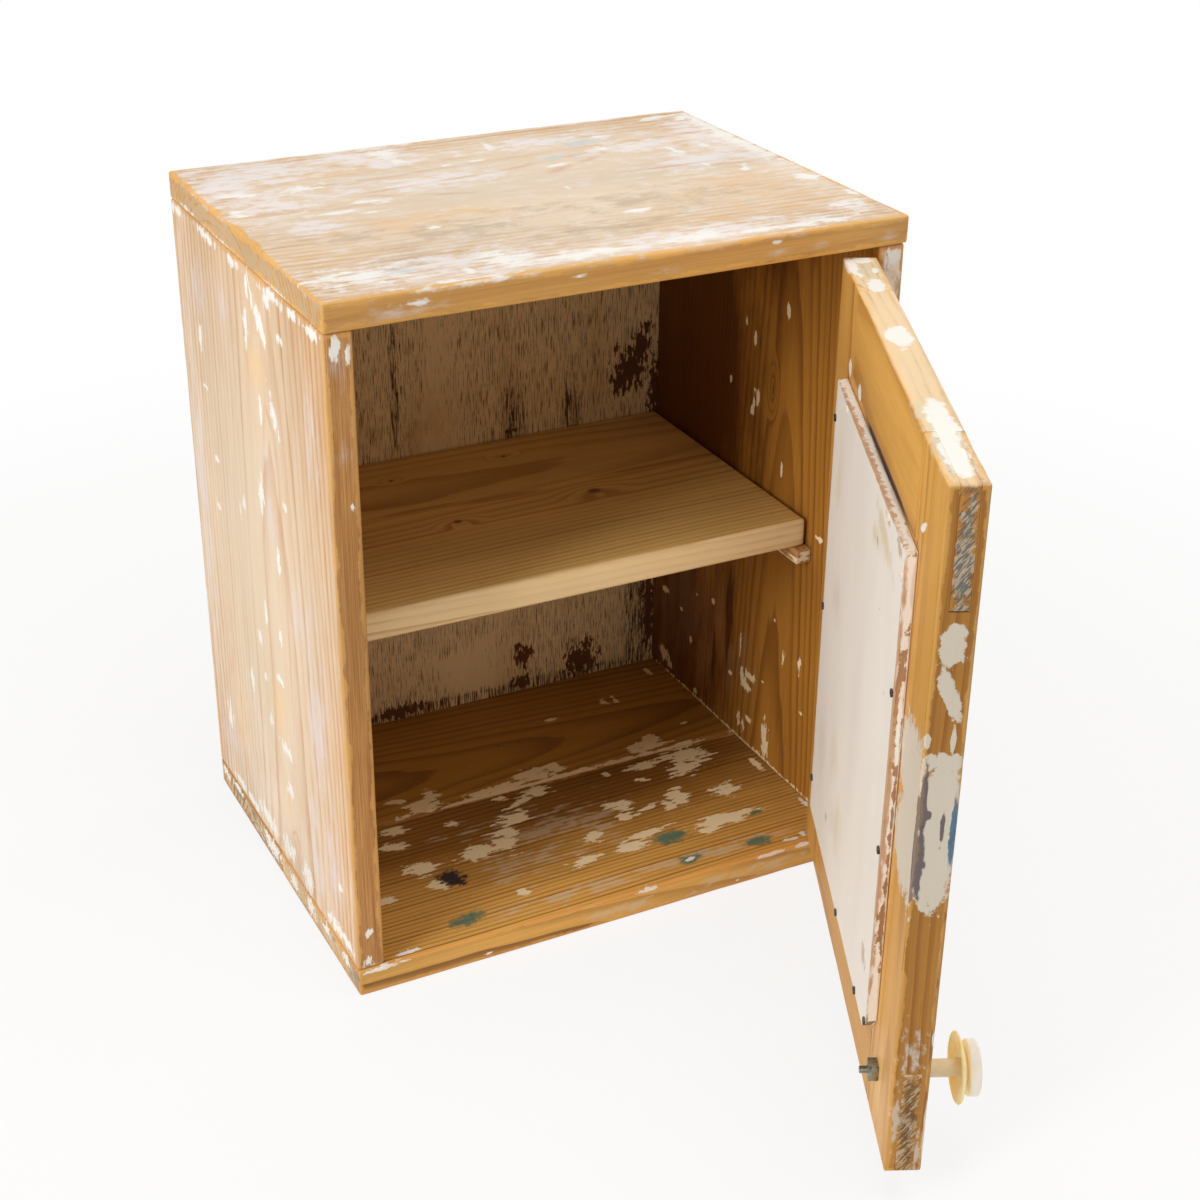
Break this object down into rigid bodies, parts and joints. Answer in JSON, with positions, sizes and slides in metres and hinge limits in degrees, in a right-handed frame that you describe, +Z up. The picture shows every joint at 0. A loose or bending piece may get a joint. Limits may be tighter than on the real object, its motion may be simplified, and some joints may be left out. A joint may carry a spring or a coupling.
{
  "type": "medicine cabinet",
  "caption": "Small wooden box cabinet with a hinged framed door, a round knob and a loose shelf on bearers.",
  "frame": {"origin": "centre of the underside of the base boards, on which the cabinet stands", "axes": "+X towards the side that carries the hinges, +Y towards the flat back, +Z up; the front faces -Y"},
  "size_m": [0.34, 0.5346, 0.416],
  "materials": {
    "top_pine": "stripped pine, scuffed, with remnants of white paint",
    "side_pine": "stripped pine with a whitewash haze and flakes of white paint",
    "base_pine": "dark honey pine with flakes of cream paint",
    "panel_paint": "checked cream paint over dark wood",
    "bearer_pine": "rough pine with streaks of cream paint",
    "new_pine": "newer planed pine with small knots",
    "door_pine": "honey pine with blobs of white and grey paint",
    "board_paint": "aged off-white paint with chipped edges",
    "ivory_plastic": "yellowed ivory plastic",
    "cap_plastic": "off-white plastic",
    "bolt_steel": "dull zinc-grey steel",
    "hinge_steel": "aged steel",
    "nail_steel": "dark oxidised steel"
  },
  "bodies": {
    "carcass": {"top_board": "top_pine", "left_side": "side_pine", "right_side": "side_pine", "base_front_board": "base_pine", "base_rear_board": "base_pine", "back_panel": "panel_paint", "top_nails": "nail_steel", "base_nails": "nail_steel", "back_panel_pins": "nail_steel", "left_bearer": "bearer_pine", "right_bearer": "bearer_pine", "bearer_pins": "nail_steel", "upper_hinge_fixed_leaf": "hinge_steel", "upper_hinge_pin": "hinge_steel", "lower_hinge_fixed_leaf": "hinge_steel", "lower_hinge_pin": "hinge_steel", "fixed_leaf_screws": "nail_steel"},
    "door": {"door_hinge_stile": "door_pine", "door_free_stile": "door_pine", "door_top_rail": "door_pine", "door_bottom_rail": "door_pine", "door_board": "board_paint", "door_board_pins": "nail_steel", "knob_stem": "ivory_plastic", "knob_flange": "ivory_plastic", "knob_cap": "cap_plastic", "knob_bolt": "bolt_steel", "knob_nut": "bolt_steel", "upper_hinge_door_leaf": "hinge_steel", "lower_hinge_door_leaf": "hinge_steel", "door_leaf_screws": "nail_steel"},
    "shelf": {"shelf": "new_pine"}
  },
  "joints": [
    {"name": "door_hinge", "type": "hinge", "parent": "carcass", "child": "door", "pos_m": [0.1524, -0.1303, 0.208], "axis": [0, 0, 1], "range_deg": [-65.4, 109.6]},
    {"name": "shelf_lift", "type": "slide", "parent": "carcass", "child": "shelf", "axis": [0, 0, 1], "range_m": [0, 0.12]}
  ]
}
